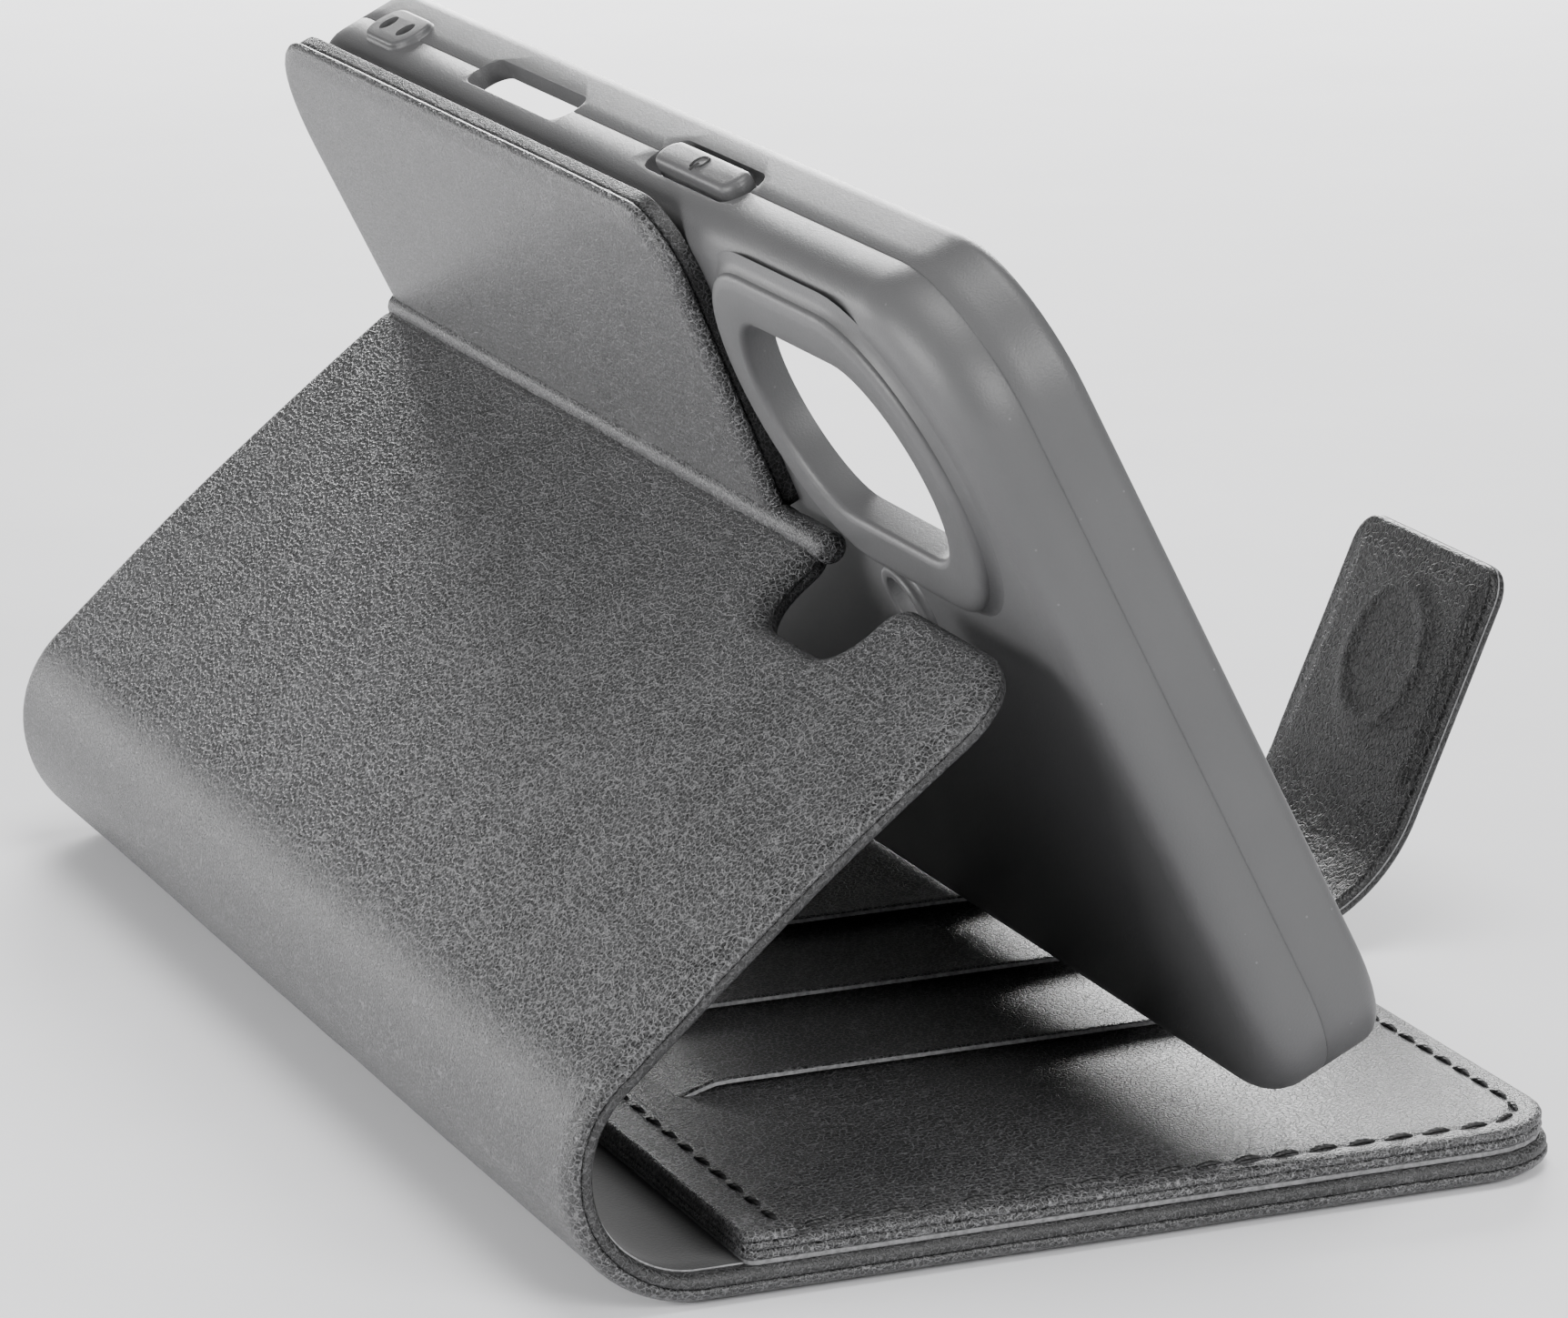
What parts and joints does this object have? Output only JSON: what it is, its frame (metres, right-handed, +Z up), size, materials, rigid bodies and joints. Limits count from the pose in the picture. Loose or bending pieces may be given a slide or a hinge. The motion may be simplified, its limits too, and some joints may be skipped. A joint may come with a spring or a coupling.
{
  "type": "phone wallet case",
  "caption": "Book-style phone wallet case standing in landscape: leather cover with card pockets, folded back panel, moulded shell and magnetic strap.",
  "frame": {"origin": "centre of the flat underside of the front cover, which lies on the table", "axes": "+X from the spine to the free edge, +Y along the spine from the camera end, +Z up"},
  "size_m": [0.1114, 0.1525, 0.079],
  "materials": {
    "cover_leather": "fine grain, semi-gloss",
    "lining": "microfibre, matt",
    "welt": "painted leather edge, satin",
    "pocket_leather": "smooth fine grain, semi-gloss",
    "shell_rubber": "soft-touch, satin",
    "strap_leather": "pebbled grain, semi-gloss",
    "magnet_steel": "plain plate inside the strap"
  },
  "bodies": {
    "front_cover": {"front_cover_leather": "cover_leather", "front_cover_lining": "lining", "cover_edge_welt": "welt", "spine_lower_bead": "cover_leather", "pocket_backing": "pocket_leather", "pocket_facing": "pocket_leather", "pocket_hem": "pocket_leather", "card_pocket_1": "pocket_leather", "card_pocket_2": "pocket_leather", "card_pocket_3": "pocket_leather", "strap_hinge_bead": "strap_leather"},
    "spine": {"spine_leather": "cover_leather", "spine_lining": "lining"},
    "back_panel": {"back_panel_leather": "cover_leather", "back_panel_lining": "lining", "spine_upper_bead": "cover_leather", "fold_piping": "cover_leather"},
    "shell": {"strip_leather": "cover_leather", "strip_backing": "lining", "phone_shell": "shell_rubber", "camera_guard": "shell_rubber", "flash_guard": "shell_rubber", "lanyard_boss": "shell_rubber"},
    "power_button": {"power_button": "shell_rubber", "power_button_ring": "shell_rubber"},
    "strap_root": {"strap_root_outer": "strap_leather", "strap_root_inner": "strap_leather", "strap_knee_bead": "strap_leather"},
    "strap_tip": {"strap_tip_outer": "strap_leather", "strap_tip_inner": "strap_leather", "strap_magnet": "magnet_steel"}
  },
  "joints": [
    {"name": "spine_lower_fold", "type": "hinge", "parent": "front_cover", "child": "spine", "pos_m": [-0.0374, 0, 0.0012], "axis": [0, -1, 0], "range_deg": [0, 70.35]},
    {"name": "spine_upper_fold", "type": "hinge", "parent": "spine", "child": "back_panel", "pos_m": [-0.04361, 0, 0.01858], "axis": [0, -1, 0], "range_deg": [0, 70.35]},
    {"name": "shell_fold", "type": "hinge", "parent": "back_panel", "child": "shell", "pos_m": [-0.00878, 0, 0.04709], "axis": [0, -1, 0], "range_deg": [-76.65, 0]},
    {"name": "power_press", "type": "slide", "parent": "shell", "child": "power_button", "axis": [0.4368, 0, -0.8996], "range_m": [0, 0.0005], "stiffness_N_per_m": 400},
    {"name": "strap_root_bend", "type": "hinge", "parent": "front_cover", "child": "strap_root", "pos_m": [0.0378, 0, 0.002], "axis": [0, -1, 0], "range_deg": [-24, 50]},
    {"name": "strap_tip_bend", "type": "hinge", "parent": "strap_root", "child": "strap_tip", "pos_m": [0.05287, 0, 0.01179], "axis": [0, -1, 0], "range_deg": [-24, 50]}
  ],
  "couplings": [
    {"joint": "spine_upper_fold", "follows": "spine_lower_fold", "ratio": 1},
    {"joint": "shell_fold", "follows": "spine_lower_fold", "ratio": -1.0888},
    {"joint": "strap_tip_bend", "follows": "strap_root_bend", "ratio": 1}
  ]
}
